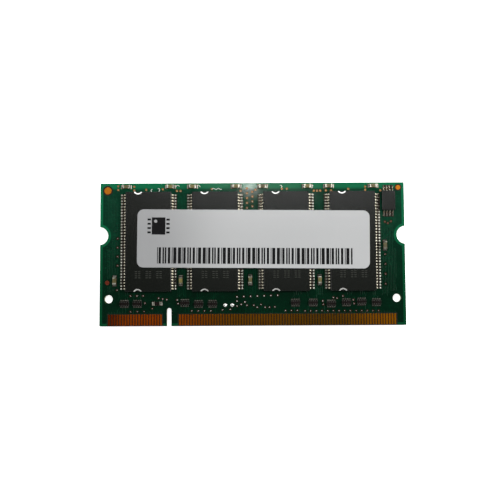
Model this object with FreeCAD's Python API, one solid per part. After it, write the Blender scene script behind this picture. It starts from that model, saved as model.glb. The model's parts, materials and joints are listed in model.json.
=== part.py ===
import FreeCAD, Part
import math
import os

# A 200-contact small-outline memory module: a notched circuit board with moulded memory chips,
# a presence-detect chip, ceramic capacitors and resistor arrays soldered to both faces, and a
# paper label stuck across the front chips.
# +X runs along the module, +Y from the contact edge to the top edge, +Z out of the label face.
# The module lies on its rear chips: z = 0 is the plane of their outer faces, and the origin is
# under the middle of the board. Sizes are in millimetres. "From edge" is the distance from the
# contact edge.

# Board outline
BOARD_LENGTH = 67.6
BOARD_WIDTH = 31.75
BOARD_THICKNESS = 1.0
LATCH_NOTCH_RADIUS = 2.0
LATCH_NOTCH_X = 34.0
LATCH_NOTCH_FROM_EDGE = 20.0
TOOLING_HOLE_RADIUS = 0.9
TOOLING_HOLE_X = 31.8
TOOLING_HOLE_FROM_EDGE = 6.0
KEY_NOTCH_X = -18.45
KEY_NOTCH_WIDTH = 1.0
KEY_NOTCH_DEPTH = 4.0

# Board layers
COPPER = 0.035
PREPREG = 0.2
GROUND_PLANE_INSET = 0.6
POWER_PLANE_INSET = 0.9
PLANE_HOLE_MARGIN = 0.6
# A cutting shape runs this far past the face that it opens
OVERCUT = 1.0

# Edge contacts: a short row and a long row on each face, the rear rows half a pitch along
CONTACT_PITCH = 0.6
CONTACT_WIDTH = 0.45
CONTACT_LENGTH = 2.4
CONTACT_FROM_EDGE = 0.2
SHORT_ROW_COUNT = 20
LONG_ROW_COUNT = 80
FRONT_SHORT_ROW_X = -31.65
FRONT_LONG_ROW_X = -16.05
REAR_ROW_SHIFT = CONTACT_PITCH / 2
CONTACT_WINDOW_SIDE = 0.25
CONTACT_WINDOW_HEIGHT = 2.75

# Vias
VIA_RING_RADIUS = 0.25
VIA_BARREL_RADIUS = 0.15
VIA_BORE_RADIUS = 0.1
VIA_PLANE_RADIUS = 0.3
VIA_WINDOW_RADIUS = 0.29

# Solder mask windows stand back from the copper by this much
WINDOW_MARGIN = 0.06

# Memory chips (66-lead thin small-outline package)
CHIP_HEIGHT = 1.14
CHIP_X = (-23.0, -8.3, 7.45, 22.15)
CHIP_FROM_EDGE = 18.65
CHIP_BODY = (10.16, 22.22, 1.0)
CHIP_SPAN = 11.76
CHIP_LEADS_PER_SIDE = 33
CHIP_LEAD_WIDTH = 0.3
CHIP_FOOT = 0.5
CHIP_PAD_END = 6.2
CHIP_DIE = (6.2, 12.4, 0.28)
CHIP_END_RECESS_X = -2.3
CHIP_END_RECESS_OUT = 0.4
CHIP_END_RECESS_RADIUS = 1.05
CHIP_END_RECESS_WALL = 0.27
CHIP_END_RECESS_DEPTH = 0.13

# Presence-detect chip (8-lead thin shrink small-outline package), turned a quarter turn
EEPROM_X = 30.25
EEPROM_FROM_EDGE = 27.6
EEPROM_BODY = (4.4, 3.0, 0.9)
EEPROM_HEIGHT = 1.02
EEPROM_SPAN = 6.4
EEPROM_LEADS_PER_SIDE = 4
EEPROM_LEAD_WIDTH = 0.24
EEPROM_FOOT = 0.6
EEPROM_PAD_END = 3.5
EEPROM_DIE = (1.5, 1.2, 0.2)
EEPROM_DOT = (-1.6, -0.9)
EEPROM_DOT_RADIUS = 0.25
EEPROM_DOT_DEPTH = 0.06

# Shared package details
LEAD_PITCH = 0.65
LEAD_THICKNESS = 0.127
LEAD_BEND_RADIUS = 0.1
LEAD_SHOULDER = 0.14
LEAD_TAIL = 0.45
BODY_DRAFT = 0.09
BODY_EDGE_ROUND = 0.06
SOLDER_FILM = 0.02
SOLDER_EXTRA_WIDTH = 0.03
# Toe solder, as shares of the lead's thickness and of the land beyond the toe
TOE_SOLDER_CLIMB = 0.85
TOE_SOLDER_SAG = 0.22
TOE_SOLDER_REACH = 0.55
# End solder of the block parts, as shares of the part's width and height and of the fillet's own size
END_SOLDER_WIDTH = 0.94
CAPACITOR_SOLDER_CLIMB = 0.55
RESISTOR_SOLDER_CLIMB = 0.8
END_SOLDER_HOLLOW = (0.12, 0.3)

# Ceramic capacitors (0603 size)
CAPACITOR = (1.6, 0.8, 0.8)
CAPACITOR_CAP = 0.35
CAPACITOR_CAP_WALL = 0.02
CAPACITOR_CAP_ROUND = 0.018
CAPACITOR_PAD_SPAN = (0.42, 1.2)
CAPACITOR_PAD_WIDTH = 0.86
TOP_ROW_FROM_EDGE = 30.95
TOP_ROW_X = (-28.0, -18.2, -13.3, -3.6, 2.3, 12.25, 17.0, 26.9)
UPRIGHT_CAPACITORS = ((-30.5, 10.0), (-15.9, 10.0), (-0.55, 10.1), (14.8, 10.05), (29.35, 17.65))

# Chip resistors: one two-terminal resistor (0603 size) and arrays of four
RESISTOR = (1.6, 0.8, 0.42)
RESISTOR_AT = (-21.05, 4.95)
ARRAY = (2.0, 1.0, 0.42)
ARRAY_COUNT = 4
ARRAY_PITCH = 0.5
ARRAY_TERMINAL_WIDTH = 0.28
ARRAY_PAD_SPAN = (0.3, 0.85)
ARRAYS = ((-28.3, 4.95), (-25.45, 4.95), (-15.0, 5.1), (-11.95, 4.85), (-8.9, 4.85), (9.4, 5.05),
          (13.3, 5.05), (17.3, 4.8), (20.65, 5.05), (24.0, 5.2), (27.25, 5.05))
TERMINAL_DEPTH = 0.25
TERMINAL_WALL = 0.03
RESISTOR_COAT = 0.05

# Test lands with solder domes
DOMES = ((-6.1, 4.6), (-4.55, 4.6))
DOME_RADIUS = 0.42
DOME_HEIGHT = 0.22

# Alignment marks: x, from edge, radius, clear ring around it
FRONT_MARKS = ((-32.15, 30.1, 0.8, 0.32), (32.5, 30.6, 0.52, 0.3), (-32.15, 9.6, 0.5, 0.03))
REAR_MARKS = ((-32.15, 30.1, 0.52, 0.3), (32.15, 9.6, 0.52, 0.3))

# Label
LABEL_SIZE = (51.26, 12.86)
LABEL_AT = (0.21, 19.1)
LABEL_TURN = -0.55
LABEL_CORNER = 1.4
LABEL_THICKNESS = 0.08
PRINT_THICKNESS = 0.004
BAR_MODULE = 0.17
BAR_CODE_LENGTH = 43.0
BAR_CODE_START = -21.2
BAR_CODE_BASE = -5.55
BAR_HEIGHT = 3.58
MARK_AT = (-20.95, 2.75)
MARK_BODY = (3.0, 3.8)
MARK_DOT_RADIUS = 0.36
MARK_DOT_INSET = 0.85
MARK_PIN = (0.75, 0.42)
MARK_PIN_GAP = 0.2
MARK_PIN_PITCH = 0.95
MARK_PINS = 4

# Vias as rows: first x, first distance from the contact edge, step in x, step in y, how many
VIA_ROWS = (
    (-29.85, 31.1, 0.0, -0.8, 2), (-26.3, 31.0, 0.0, -0.8, 2), (-23.6, 30.3, 0.0, 0.0, 1),
    (-19.95, 30.4, 0.0, 0.0, 1), (-16.8, 30.0, 0.8, 0.0, 2), (-9.0, 30.4, 0.0, 0.0, 1),
    (-2.6, 29.95, 0.0, 0.0, 1), (-1.2, 30.5, 0.0, -1.08, 5), (0.0, 29.75, 0.0, -1.08, 4),
    (0.7, 30.2, 0.0, 0.0, 1), (6.6, 30.4, 1.1, 0.0, 2), (13.75, 29.95, 0.7, 0.0, 3),
    (16.4, 30.0, 1.2, 0.0, 2), (21.4, 30.3, 0.0, 0.0, 1), (25.2, 30.8, 0.0, -0.7, 2),
    (28.55, 29.95, 0.0, 0.0, 1), (29.45, 22.9, 0.65, -0.3, 2), (30.8, 23.0, 0.0, 0.0, 1),
    (29.4, 15.7, 0.0, -2.2, 4), (-29.9, 19.4, 0.0, -2.0, 4), (-30.0, 8.0, 0.0, 0.0, 1),
    (-23.8, 5.1, 0.0, 0.0, 1), (-22.2, 3.85, 0.0, 0.0, 1), (-20.8, 6.15, 0.9, -0.15, 3),
    (-16.7, 5.75, 0.2, -0.8, 2), (-6.7, 3.5, 1.7, 0.1, 2), (-3.5, 6.4, 1.5, 0.05, 7),
    (-3.5, 5.45, 0.0, -1.1, 2), (-2.6, 4.7, 1.3, 0.0, 1), (-1.75, 5.25, 0.45, -0.75, 2),
    (0.2, 4.5, 0.75, -0.45, 2), (1.8, 4.65, 0.9, -0.6, 2), (3.65, 4.05, 1.2, 0.05, 2),
    (11.5, 3.2, 1.25, 0.0, 14), (15.45, 5.4, 0.1, -0.8, 2), (17.8, 6.15, 0.8, -0.15, 2),
    (19.9, 6.45, 0.0, 0.0, 1), (22.2, 5.6, 0.15, -0.8, 2), (-27.0, 6.7, 1.4, 0.0, 3),
    (-13.5, 3.3, 1.4, 0.0, 4), (7.2, 3.3, 1.3, 0.0, 3), (-27.0, 3.2, 1.5, 0.0, 3),
)

BOARD_REAR = CHIP_HEIGHT
BOARD_FRONT = CHIP_HEIGHT + BOARD_THICKNESS
BOARD_MIDDLE = CHIP_HEIGHT + BOARD_THICKNESS / 2
CHIP_FRONT = BOARD_FRONT + CHIP_HEIGHT
UP = FreeCAD.Vector(0, 0, 1)


def point(x, y, z=0.0):
    return FreeCAD.Vector(x, y, z)


def from_edge(distance):
    """The y of a line this far from the contact edge."""
    return distance - BOARD_WIDTH / 2


def save(name, solids):
    """Write one node: a single solid, or a group of separate ones."""
    shape = solids[0] if len(solids) == 1 else Part.makeCompound(solids)
    shape.exportStep("parts/" + name + ".step")


def rounded_wire(corners, radii):
    """A closed wire through the corners, each rounded by an arc of its own radius (0 is sharp)."""
    starts = []
    middles = []
    ends = []
    for index, corner in enumerate(corners):
        towards_last = (corners[index - 1] - corner).normalize()
        towards_next = (corners[(index + 1) % len(corners)] - corner).normalize()
        half_angle = towards_last.getAngle(towards_next) / 2
        reach = radii[index] / math.tan(half_angle)
        bisector = (towards_last + towards_next).normalize()
        starts.append(corner + towards_last * reach)
        middles.append(corner + bisector * (radii[index] / math.sin(half_angle) - radii[index]))
        ends.append(corner + towards_next * reach)
    edges = []
    for index in range(len(corners)):
        if radii[index] > 0:
            edges.append(Part.Arc(starts[index], middles[index], ends[index]).toShape())
        edges.append(Part.LineSegment(ends[index], starts[(index + 1) % len(corners)]).toShape())
    return Part.Wire(edges)


def polygon_prism(corners, along):
    """A sharp-cornered outline swept straight along a vector."""
    return Part.Face(Part.makePolygon(list(corners) + [corners[0]])).extrude(along)


def centred_box(size_x, size_y, size_z, x, y, z_low):
    return Part.makeBox(size_x, size_y, size_z, point(x - size_x / 2, y - size_y / 2, z_low))


def disc_wire(radius, x, y, z):
    return Part.Wire(Part.makeCircle(radius, point(x, y, z), UP))


def rectangle_wire(x_low, y_low, x_high, y_high, z):
    corners = [point(x_low, y_low, z), point(x_high, y_low, z)]
    corners += [point(x_high, y_high, z), point(x_low, y_high, z), point(x_low, y_low, z)]
    return Part.makePolygon(corners)


def holed_face(outline, holes):
    """A flat face inside an outline, open at each hole."""
    face = Part.Face([outline] + holes)
    face.validate()
    return face


def on_rear(shape):
    """The same piece on the rear face, as the board's middle plane mirrors it."""
    return shape.mirror(point(0, 0, BOARD_MIDDLE), UP)


def board_wire(inset, z):
    """The board's outline with its side latch notches and its key notch, pulled in by an inset."""
    side = BOARD_LENGTH / 2 - inset
    low = from_edge(0) + inset
    high = from_edge(BOARD_WIDTH) - inset
    notch_y = from_edge(LATCH_NOTCH_FROM_EDGE)
    notch_radius = LATCH_NOTCH_RADIUS + inset
    notch_half = math.sqrt(notch_radius ** 2 - (LATCH_NOTCH_X - side) ** 2)
    notch_floor = LATCH_NOTCH_X - notch_radius
    key_half = KEY_NOTCH_WIDTH / 2 + inset
    key_left = KEY_NOTCH_X - key_half
    key_right = KEY_NOTCH_X + key_half
    key_top = from_edge(KEY_NOTCH_DEPTH) + inset
    key_shoulder = key_top - key_half

    def line(x_from, y_from, x_to, y_to):
        return Part.LineSegment(point(x_from, y_from, z), point(x_to, y_to, z)).toShape()

    def arc(x_from, y_from, x_by, y_by, x_to, y_to):
        return Part.Arc(point(x_from, y_from, z), point(x_by, y_by, z), point(x_to, y_to, z)).toShape()

    notch_low = notch_y - notch_half
    notch_high = notch_y + notch_half
    edges = [
        line(-side, low, key_left, low),
        line(key_left, low, key_left, key_shoulder),
        arc(key_left, key_shoulder, KEY_NOTCH_X, key_top, key_right, key_shoulder),
        line(key_right, key_shoulder, key_right, low),
        line(key_right, low, side, low),
        line(side, low, side, notch_low),
        arc(side, notch_low, notch_floor, notch_y, side, notch_high),
        line(side, notch_high, side, high),
        line(side, high, -side, high),
        line(-side, high, -side, notch_high),
        arc(-side, notch_high, -notch_floor, notch_y, -side, notch_low),
        line(-side, notch_low, -side, low),
    ]
    return Part.Wire(edges)


def via_centres():
    centres = []
    for first_x, first_y, step_x, step_y, count in VIA_ROWS:
        for index in range(count):
            centres.append((first_x + index * step_x, from_edge(first_y + index * step_y)))
    return centres


def tooling_centres():
    y = from_edge(TOOLING_HOLE_FROM_EDGE)
    return [(-TOOLING_HOLE_X, y), (TOOLING_HOLE_X, y)]


def board_sheet(z, thickness, via_radius, windows):
    """One flat layer of the board with its via holes, tooling holes and any further windows."""
    holes = [disc_wire(via_radius, x, y, z) for x, y in via_centres()]
    holes += [disc_wire(TOOLING_HOLE_RADIUS, x, y, z) for x, y in tooling_centres()]
    return holed_face(board_wire(0, z), holes + windows).extrude(point(0, 0, thickness))


def copper_plane(inset, z, thickness):
    """An inner copper plane, pulled in from the outline and cleared around the vias and holes."""
    plane = Part.Face(board_wire(inset, z)).extrude(point(0, 0, thickness))
    places = [(VIA_PLANE_RADIUS, x, y) for x, y in via_centres()]
    places += [(TOOLING_HOLE_RADIUS + PLANE_HOLE_MARGIN, x, y) for x, y in tooling_centres()]
    height = thickness + 2 * OVERCUT
    clearances = [Part.makeCylinder(radius, height, point(x, y, z - OVERCUT)) for radius, x, y in places]
    return plane.cut(clearances)


def lead_positions(count):
    """Positions along one side of a package, evenly pitched about its middle."""
    return [(index - (count - 1) / 2) * LEAD_PITCH for index in range(count)]


def lead_row_wires(x, y, quarter_turn, span, foot, pad_end, lead_width, count, z):
    """The mask windows of a package's two lead rows: one long window along each row."""
    inner = span / 2 - foot - SOLDER_EXTRA_WIDTH - WINDOW_MARGIN - LEAD_SHOULDER
    outer = pad_end + WINDOW_MARGIN
    half = lead_positions(count)[-1] + lead_width / 2 + SOLDER_EXTRA_WIDTH + WINDOW_MARGIN
    wires = []
    for low, high in ((-outer, -inner), (inner, outer)):
        if quarter_turn:
            wires.append(rectangle_wire(x - half, y + low, x + half, y + high, z))
        else:
            wires.append(rectangle_wire(x + low, y - half, x + high, y + half, z))
    return wires


def pad_pair_wires(x, y, upright, span, width, z):
    """The mask windows of a part's two pads, or of the two pad rows of an array."""
    low = span[0] - WINDOW_MARGIN
    high = span[1] + WINDOW_MARGIN
    half = width / 2 + WINDOW_MARGIN
    wires = []
    for near, far in ((-high, -low), (low, high)):
        if upright:
            wires.append(rectangle_wire(x - half, y + near, x + half, y + far, z))
        else:
            wires.append(rectangle_wire(x + near, y - half, x + far, y + half, z))
    return wires


def capacitor_places():
    """x, y and whether it stands upright, for every capacitor of one face."""
    places = [(x, from_edge(TOP_ROW_FROM_EDGE), False) for x in TOP_ROW_X]
    places += [(x, from_edge(distance), True) for x, distance in UPRIGHT_CAPACITORS]
    return places


def array_row_width():
    return (ARRAY_COUNT - 1) * ARRAY_PITCH + ARRAY_TERMINAL_WIDTH


def mask_windows(z, marks, has_eeprom):
    windows = []
    for x in CHIP_X:
        windows += lead_row_wires(x, from_edge(CHIP_FROM_EDGE), False, CHIP_SPAN, CHIP_FOOT,
                                  CHIP_PAD_END, CHIP_LEAD_WIDTH, CHIP_LEADS_PER_SIDE, z)
    if has_eeprom:
        windows += lead_row_wires(EEPROM_X, from_edge(EEPROM_FROM_EDGE), True, EEPROM_SPAN, EEPROM_FOOT,
                                  EEPROM_PAD_END, EEPROM_LEAD_WIDTH, EEPROM_LEADS_PER_SIDE, z)
    for x, y, upright in capacitor_places():
        windows += pad_pair_wires(x, y, upright, CAPACITOR_PAD_SPAN, CAPACITOR_PAD_WIDTH, z)
    for x, distance in ARRAYS:
        windows += pad_pair_wires(x, from_edge(distance), True, ARRAY_PAD_SPAN, array_row_width(), z)
    windows += pad_pair_wires(RESISTOR_AT[0], from_edge(RESISTOR_AT[1]), False, CAPACITOR_PAD_SPAN,
                              CAPACITOR_PAD_WIDTH, z)
    for x, distance in DOMES:
        windows.append(disc_wire(DOME_RADIUS + WINDOW_MARGIN, x, from_edge(distance), z))
    for x, distance, radius, ring in marks:
        windows.append(disc_wire(radius + ring, x, from_edge(distance), z))
    return windows


def contact_rows(on_front):
    """First contact's x and the number of contacts, for the short row and the long row."""
    shift = 0 if on_front else REAR_ROW_SHIFT
    return ((FRONT_SHORT_ROW_X + shift, SHORT_ROW_COUNT), (FRONT_LONG_ROW_X + shift, LONG_ROW_COUNT))


def solder_mask(z, marks, on_front):
    """A face's solder mask, open over the pads and along the two contact rows."""
    mask = board_sheet(z, COPPER, VIA_WINDOW_RADIUS, mask_windows(z, marks, on_front))
    for first_x, count in contact_rows(on_front):
        side = CONTACT_WIDTH / 2 + CONTACT_WINDOW_SIDE
        length = (count - 1) * CONTACT_PITCH + 2 * side
        corner = point(first_x - side, from_edge(-OVERCUT), z - OVERCUT)
        slot = Part.makeBox(length, CONTACT_WINDOW_HEIGHT + OVERCUT, COPPER + 2 * OVERCUT, corner)
        mask = mask.cut(slot)
    return mask


def board_layers():
    """Write the laminate, the inner copper planes and the two solder masks."""
    rear_laminate = BOARD_REAR + COPPER
    core_low = rear_laminate + PREPREG
    front_laminate = BOARD_FRONT - COPPER
    core_high = front_laminate - PREPREG
    save("prepreg_rear", [board_sheet(rear_laminate, PREPREG, VIA_BARREL_RADIUS, [])])
    save("prepreg_front", [board_sheet(core_high, PREPREG, VIA_BARREL_RADIUS, [])])
    core = board_sheet(core_low, core_high - core_low, VIA_BARREL_RADIUS, [])
    core = core.cut(copper_plane(POWER_PLANE_INSET, core_low - OVERCUT, COPPER + OVERCUT))
    core = core.cut(copper_plane(GROUND_PLANE_INSET, core_high - COPPER, COPPER + OVERCUT))
    save("pcb_core", [core])
    save("power_plane", [copper_plane(POWER_PLANE_INSET, core_low, COPPER)])
    save("ground_plane", [copper_plane(GROUND_PLANE_INSET, core_high - COPPER, COPPER)])
    save("solder_mask_rear", [solder_mask(BOARD_REAR, REAR_MARKS, False)])
    save("solder_mask_front", [solder_mask(front_laminate, FRONT_MARKS, True)])


def via_barrels():
    """Write the plated barrels that join the two faces, each with a ring on either face."""
    profile = [
        point(VIA_BORE_RADIUS, 0, BOARD_REAR),
        point(VIA_RING_RADIUS, 0, BOARD_REAR),
        point(VIA_RING_RADIUS, 0, BOARD_REAR + COPPER),
        point(VIA_BARREL_RADIUS, 0, BOARD_REAR + COPPER),
        point(VIA_BARREL_RADIUS, 0, BOARD_FRONT - COPPER),
        point(VIA_RING_RADIUS, 0, BOARD_FRONT - COPPER),
        point(VIA_RING_RADIUS, 0, BOARD_FRONT),
        point(VIA_BORE_RADIUS, 0, BOARD_FRONT),
    ]
    barrel = Part.Face(Part.makePolygon(profile + [profile[0]])).revolve(point(0, 0), UP, 360)
    save("via_barrels", [barrel.translated(point(x, y)) for x, y in via_centres()])


def edge_contacts():
    """Write the four rows of gold-plated fingers."""
    for face, on_front in (("front", True), ("rear", False)):
        z = BOARD_FRONT - COPPER if on_front else BOARD_REAR
        for row, (first_x, count) in zip(("short_row", "long_row"), contact_rows(on_front)):
            fingers = []
            for index in range(count):
                x = first_x + index * CONTACT_PITCH
                corner = point(x - CONTACT_WIDTH / 2, from_edge(CONTACT_FROM_EDGE), z)
                fingers.append(Part.makeBox(CONTACT_WIDTH, CONTACT_LENGTH, COPPER, corner))
            save("contacts_" + face + "_" + row, fingers)


def alignment_marks():
    """Write the round bare-copper marks that placement machines look for."""
    marks = []
    for face_marks, z in ((FRONT_MARKS, BOARD_FRONT - COPPER), (REAR_MARKS, BOARD_REAR)):
        for x, distance, radius, _ in face_marks:
            marks.append(Part.makeCylinder(radius, COPPER, point(x, from_edge(distance), z)))
    save("alignment_marks", marks)


def moulded_body(size_x, size_y, height, body_height):
    """A moulded package body: drafted both ways from a parting line, with softened face edges.

    The body stands centred on the board's front face, its top at the package height.
    """
    top = BOARD_FRONT + height
    bottom = top - body_height
    parting = (top + bottom) / 2
    wires = []
    for z, draw_in in ((bottom, BODY_DRAFT), (parting, 0), (top, BODY_DRAFT)):
        x = size_x / 2 - draw_in
        y = size_y / 2 - draw_in
        wires.append(rectangle_wire(-x, -y, x, y, z))
    body = Part.makeLoft(wires, True, True)
    rims = [edge for edge in body.Edges if is_level(edge, top)]
    return body.makeChamfer(BODY_EDGE_ROUND, rims)


def is_level(edge, z):
    box = edge.BoundBox
    return abs(box.ZMin - z) < 1e-6 and abs(box.ZMax - z) < 1e-6


def ribbon_face(path, thickness, bend_radius):
    """A bent strip's side profile in the XZ plane, as wide as the thickness about a path."""
    near = []
    far = []
    near_radii = []
    far_radii = []
    for index, corner in enumerate(path):
        before = path[max(index - 1, 0)]
        after = path[min(index + 1, len(path) - 1)]
        ends_here = index in (0, len(path) - 1)
        first = (corner - before).normalize() if index > 0 else (after - corner).normalize()
        second = (after - corner).normalize() if index < len(path) - 1 else first
        first_normal = point(-first.z, 0, first.x)
        second_normal = point(-second.z, 0, second.x)
        miter = (first_normal + second_normal).normalize()
        reach = thickness / 2 / miter.dot(first_normal)
        turns_left = first.x * second.z - first.z * second.x > 0
        near.append(corner + miter * reach)
        far.append(corner - miter * reach)
        tight = 0 if ends_here else bend_radius - thickness / 2
        wide = 0 if ends_here else bend_radius + thickness / 2
        near_radii.append(tight if turns_left else wide)
        far_radii.append(wide if turns_left else tight)
    corners = near + far[::-1]
    return Part.Face(rounded_wire(corners, near_radii + far_radii[::-1]))


def gull_wing_lead(body_half, span_half, foot, shoulder_z, width):
    """One lead on the +X side: a tail held in the body, a shoulder, a steep leg and a flat foot."""
    foot_z = BOARD_FRONT + SOLDER_FILM + LEAD_THICKNESS / 2
    path = [
        point(body_half - LEAD_TAIL, -width / 2, shoulder_z),
        point(body_half + LEAD_SHOULDER, -width / 2, shoulder_z),
        point(span_half - foot, -width / 2, foot_z),
        point(span_half, -width / 2, foot_z),
    ]
    return ribbon_face(path, LEAD_THICKNESS, LEAD_BEND_RADIUS).extrude(point(0, width, 0))


def lead_slot(body_half, shoulder_z, width):
    """The space that a lead's tail takes up in the body, open at the body's side."""
    size = (LEAD_TAIL + LEAD_SHOULDER / 2, width, LEAD_THICKNESS)
    return Part.makeBox(*size, point(body_half - LEAD_TAIL, -width / 2, shoulder_z - LEAD_THICKNESS / 2))


def lead_solder(span_half, foot, pad_end, width):
    """The solder under one foot, rising as a fillet up its toe."""
    film = BOARD_FRONT + SOLDER_FILM
    wide = width + SOLDER_EXTRA_WIDTH
    toe_top = film + LEAD_THICKNESS * TOE_SOLDER_CLIMB
    sag_x = pad_end - (pad_end - span_half) * TOE_SOLDER_REACH
    flat_start = span_half - foot + LEAD_BEND_RADIUS
    toe = [
        point(flat_start, -wide / 2, BOARD_FRONT),
        point(pad_end, -wide / 2, BOARD_FRONT),
        point(sag_x, -wide / 2, film + LEAD_THICKNESS * TOE_SOLDER_SAG),
        point(span_half, -wide / 2, toe_top),
        point(span_half, -wide / 2, film),
        point(flat_start, -wide / 2, film),
    ]
    return polygon_prism(toe, point(0, wide, 0))


def lead_pad(span_half, foot, pad_end, width):
    inner = span_half - foot - LEAD_SHOULDER
    wide = width + 2 * SOLDER_EXTRA_WIDTH
    return Part.makeBox(pad_end - inner, wide, COPPER, point(inner, -wide / 2, BOARD_FRONT - COPPER))


def both_rows(piece, count):
    """A piece of the +X side repeated along both sides of a package."""
    other_side = piece.rotated(point(0, 0), UP, 180)
    places = lead_positions(count)
    return [side.translated(point(0, y)) for side in (piece, other_side) for y in places]


def end_recess(y_sign, top):
    """The cutting cone of the shallow crescent at one end of a memory chip, its wall sloping in."""
    y = y_sign * (CHIP_BODY[1] / 2 + CHIP_END_RECESS_OUT)
    centre = point(CHIP_END_RECESS_X, y, top - CHIP_END_RECESS_DEPTH)
    inner = CHIP_END_RECESS_RADIUS - CHIP_END_RECESS_WALL
    outer = CHIP_END_RECESS_RADIUS + CHIP_END_RECESS_WALL
    return Part.makeCone(inner, outer, 2 * CHIP_END_RECESS_DEPTH, centre)


def memory_chip():
    """The pieces of a memory chip about its own centre: body, leads, die, solder and pads."""
    half_x = CHIP_BODY[0] / 2
    shoulder_z = CHIP_FRONT - CHIP_BODY[2] / 2
    die = centred_box(*CHIP_DIE, 0, 0, shoulder_z - LEAD_THICKNESS - CHIP_DIE[2])
    slots = both_rows(lead_slot(half_x, shoulder_z, CHIP_LEAD_WIDTH), CHIP_LEADS_PER_SIDE)
    body = moulded_body(CHIP_BODY[0], CHIP_BODY[1], CHIP_HEIGHT, CHIP_BODY[2])
    body = body.cut([end_recess(-1, CHIP_FRONT), end_recess(1, CHIP_FRONT)])
    body = body.cut(slots + [die])
    lead = gull_wing_lead(half_x, CHIP_SPAN / 2, CHIP_FOOT, shoulder_z, CHIP_LEAD_WIDTH)
    solder = lead_solder(CHIP_SPAN / 2, CHIP_FOOT, CHIP_PAD_END, CHIP_LEAD_WIDTH)
    pad = lead_pad(CHIP_SPAN / 2, CHIP_FOOT, CHIP_PAD_END, CHIP_LEAD_WIDTH)
    return {
        "body": [body],
        "leads": both_rows(lead, CHIP_LEADS_PER_SIDE),
        "die": [die],
        "solder": both_rows(solder, CHIP_LEADS_PER_SIDE),
        "pads": both_rows(pad, CHIP_LEADS_PER_SIDE),
    }


def presence_chip():
    """The presence-detect chip about its own centre, its leads towards +X and -X."""
    top = BOARD_FRONT + EEPROM_HEIGHT
    shoulder_z = top - EEPROM_BODY[2] / 2
    half_x = EEPROM_BODY[0] / 2
    die = centred_box(*EEPROM_DIE, 0, 0, shoulder_z - EEPROM_DIE[2] / 2)
    slots = both_rows(lead_slot(half_x, shoulder_z, EEPROM_LEAD_WIDTH), EEPROM_LEADS_PER_SIDE)
    body = moulded_body(EEPROM_BODY[0], EEPROM_BODY[1], EEPROM_HEIGHT, EEPROM_BODY[2])
    dot_low = top - EEPROM_DOT_DEPTH
    dot = Part.makeCylinder(EEPROM_DOT_RADIUS, EEPROM_DOT_DEPTH + OVERCUT, point(*EEPROM_DOT, dot_low))
    body = body.cut([dot, die] + slots)
    lead = gull_wing_lead(half_x, EEPROM_SPAN / 2, EEPROM_FOOT, shoulder_z, EEPROM_LEAD_WIDTH)
    solder = lead_solder(EEPROM_SPAN / 2, EEPROM_FOOT, EEPROM_PAD_END, EEPROM_LEAD_WIDTH)
    pad = lead_pad(EEPROM_SPAN / 2, EEPROM_FOOT, EEPROM_PAD_END, EEPROM_LEAD_WIDTH)
    return {
        "body": [body],
        "leads": both_rows(lead, EEPROM_LEADS_PER_SIDE),
        "die": [die],
        "solder": both_rows(solder, EEPROM_LEADS_PER_SIDE),
        "pads": both_rows(pad, EEPROM_LEADS_PER_SIDE),
    }


def placed(solids, x, y, turned=False):
    """Solids modelled about the origin, moved to their place on the board."""
    if turned:
        solids = [solid.rotated(point(0, 0), UP, 90) for solid in solids]
    return [solid.translated(point(x, y)) for solid in solids]


def end_fillet(inner, outer, width, height):
    """Solder on the +X side, climbing an end face at the inner distance with a hollow slope."""
    middle = (inner + outer) / 2
    low = point(outer, -width / 2, BOARD_FRONT)
    foot = point(inner, -width / 2, BOARD_FRONT)
    peak = point(inner, -width / 2, BOARD_FRONT + height)
    draw_in, lift = END_SOLDER_HOLLOW
    hollow = point(middle - (outer - inner) * draw_in, -width / 2, BOARD_FRONT + height * lift)
    edges = [
        Part.LineSegment(peak, foot).toShape(),
        Part.LineSegment(foot, low).toShape(),
        Part.Arc(low, hollow, peak).toShape(),
    ]
    return Part.Face(Part.Wire(edges)).extrude(point(0, width, 0))


def both_ends(piece):
    return [piece, piece.rotated(point(0, 0), UP, 180)]


def two_terminal_pads():
    low, high = CAPACITOR_PAD_SPAN
    pad = centred_box(high - low, CAPACITOR_PAD_WIDTH, COPPER, (low + high) / 2, 0, BOARD_FRONT - COPPER)
    return both_ends(pad)


def capacitor():
    """A ceramic capacitor about its own centre: a block with a metal cap over each end."""
    length, width, height = CAPACITOR
    wall = CAPACITOR_CAP_WALL
    block = centred_box(length - 2 * wall, width - 2 * wall, height - 2 * wall, 0, 0, BOARD_FRONT + wall)
    cap = centred_box(CAPACITOR_CAP, width, height, (length - CAPACITOR_CAP) / 2, 0, BOARD_FRONT)
    outer_face = length / 2 - 1e-6
    rims = [edge for edge in cap.Edges if edge.BoundBox.XMin > outer_face]
    cap = cap.makeFillet(CAPACITOR_CAP_ROUND, rims).cut(block)
    solder = end_fillet(length / 2, CAPACITOR_PAD_SPAN[1], width * END_SOLDER_WIDTH,
                        height * CAPACITOR_SOLDER_CLIMB)
    return {
        "body": [block],
        "terminals": both_ends(cap),
        "solder": both_ends(solder),
        "pads": two_terminal_pads(),
    }


def wrap_terminal(width, length, height):
    """A terminal on the +X edge of a chip resistor: up its end face, and onto the top and bottom."""
    side = -width / 2
    outer_x = length / 2
    open_x = outer_x - TERMINAL_DEPTH
    wall_x = outer_x - TERMINAL_WALL
    low = BOARD_FRONT
    high = BOARD_FRONT + height
    profile = [
        point(open_x, side, low),
        point(outer_x, side, low),
        point(outer_x, side, high),
        point(open_x, side, high),
        point(open_x, side, high - TERMINAL_WALL),
        point(wall_x, side, high - TERMINAL_WALL),
        point(wall_x, side, low + TERMINAL_WALL),
        point(open_x, side, low + TERMINAL_WALL),
    ]
    return polygon_prism(profile, point(0, width, 0))


def resistor_block(length, width, height):
    """The ceramic plate of a chip resistor, between its terminals' inner faces."""
    size = (length - 2 * TERMINAL_WALL, width, height - 2 * TERMINAL_WALL)
    return centred_box(*size, 0, 0, BOARD_FRONT + TERMINAL_WALL)


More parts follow.
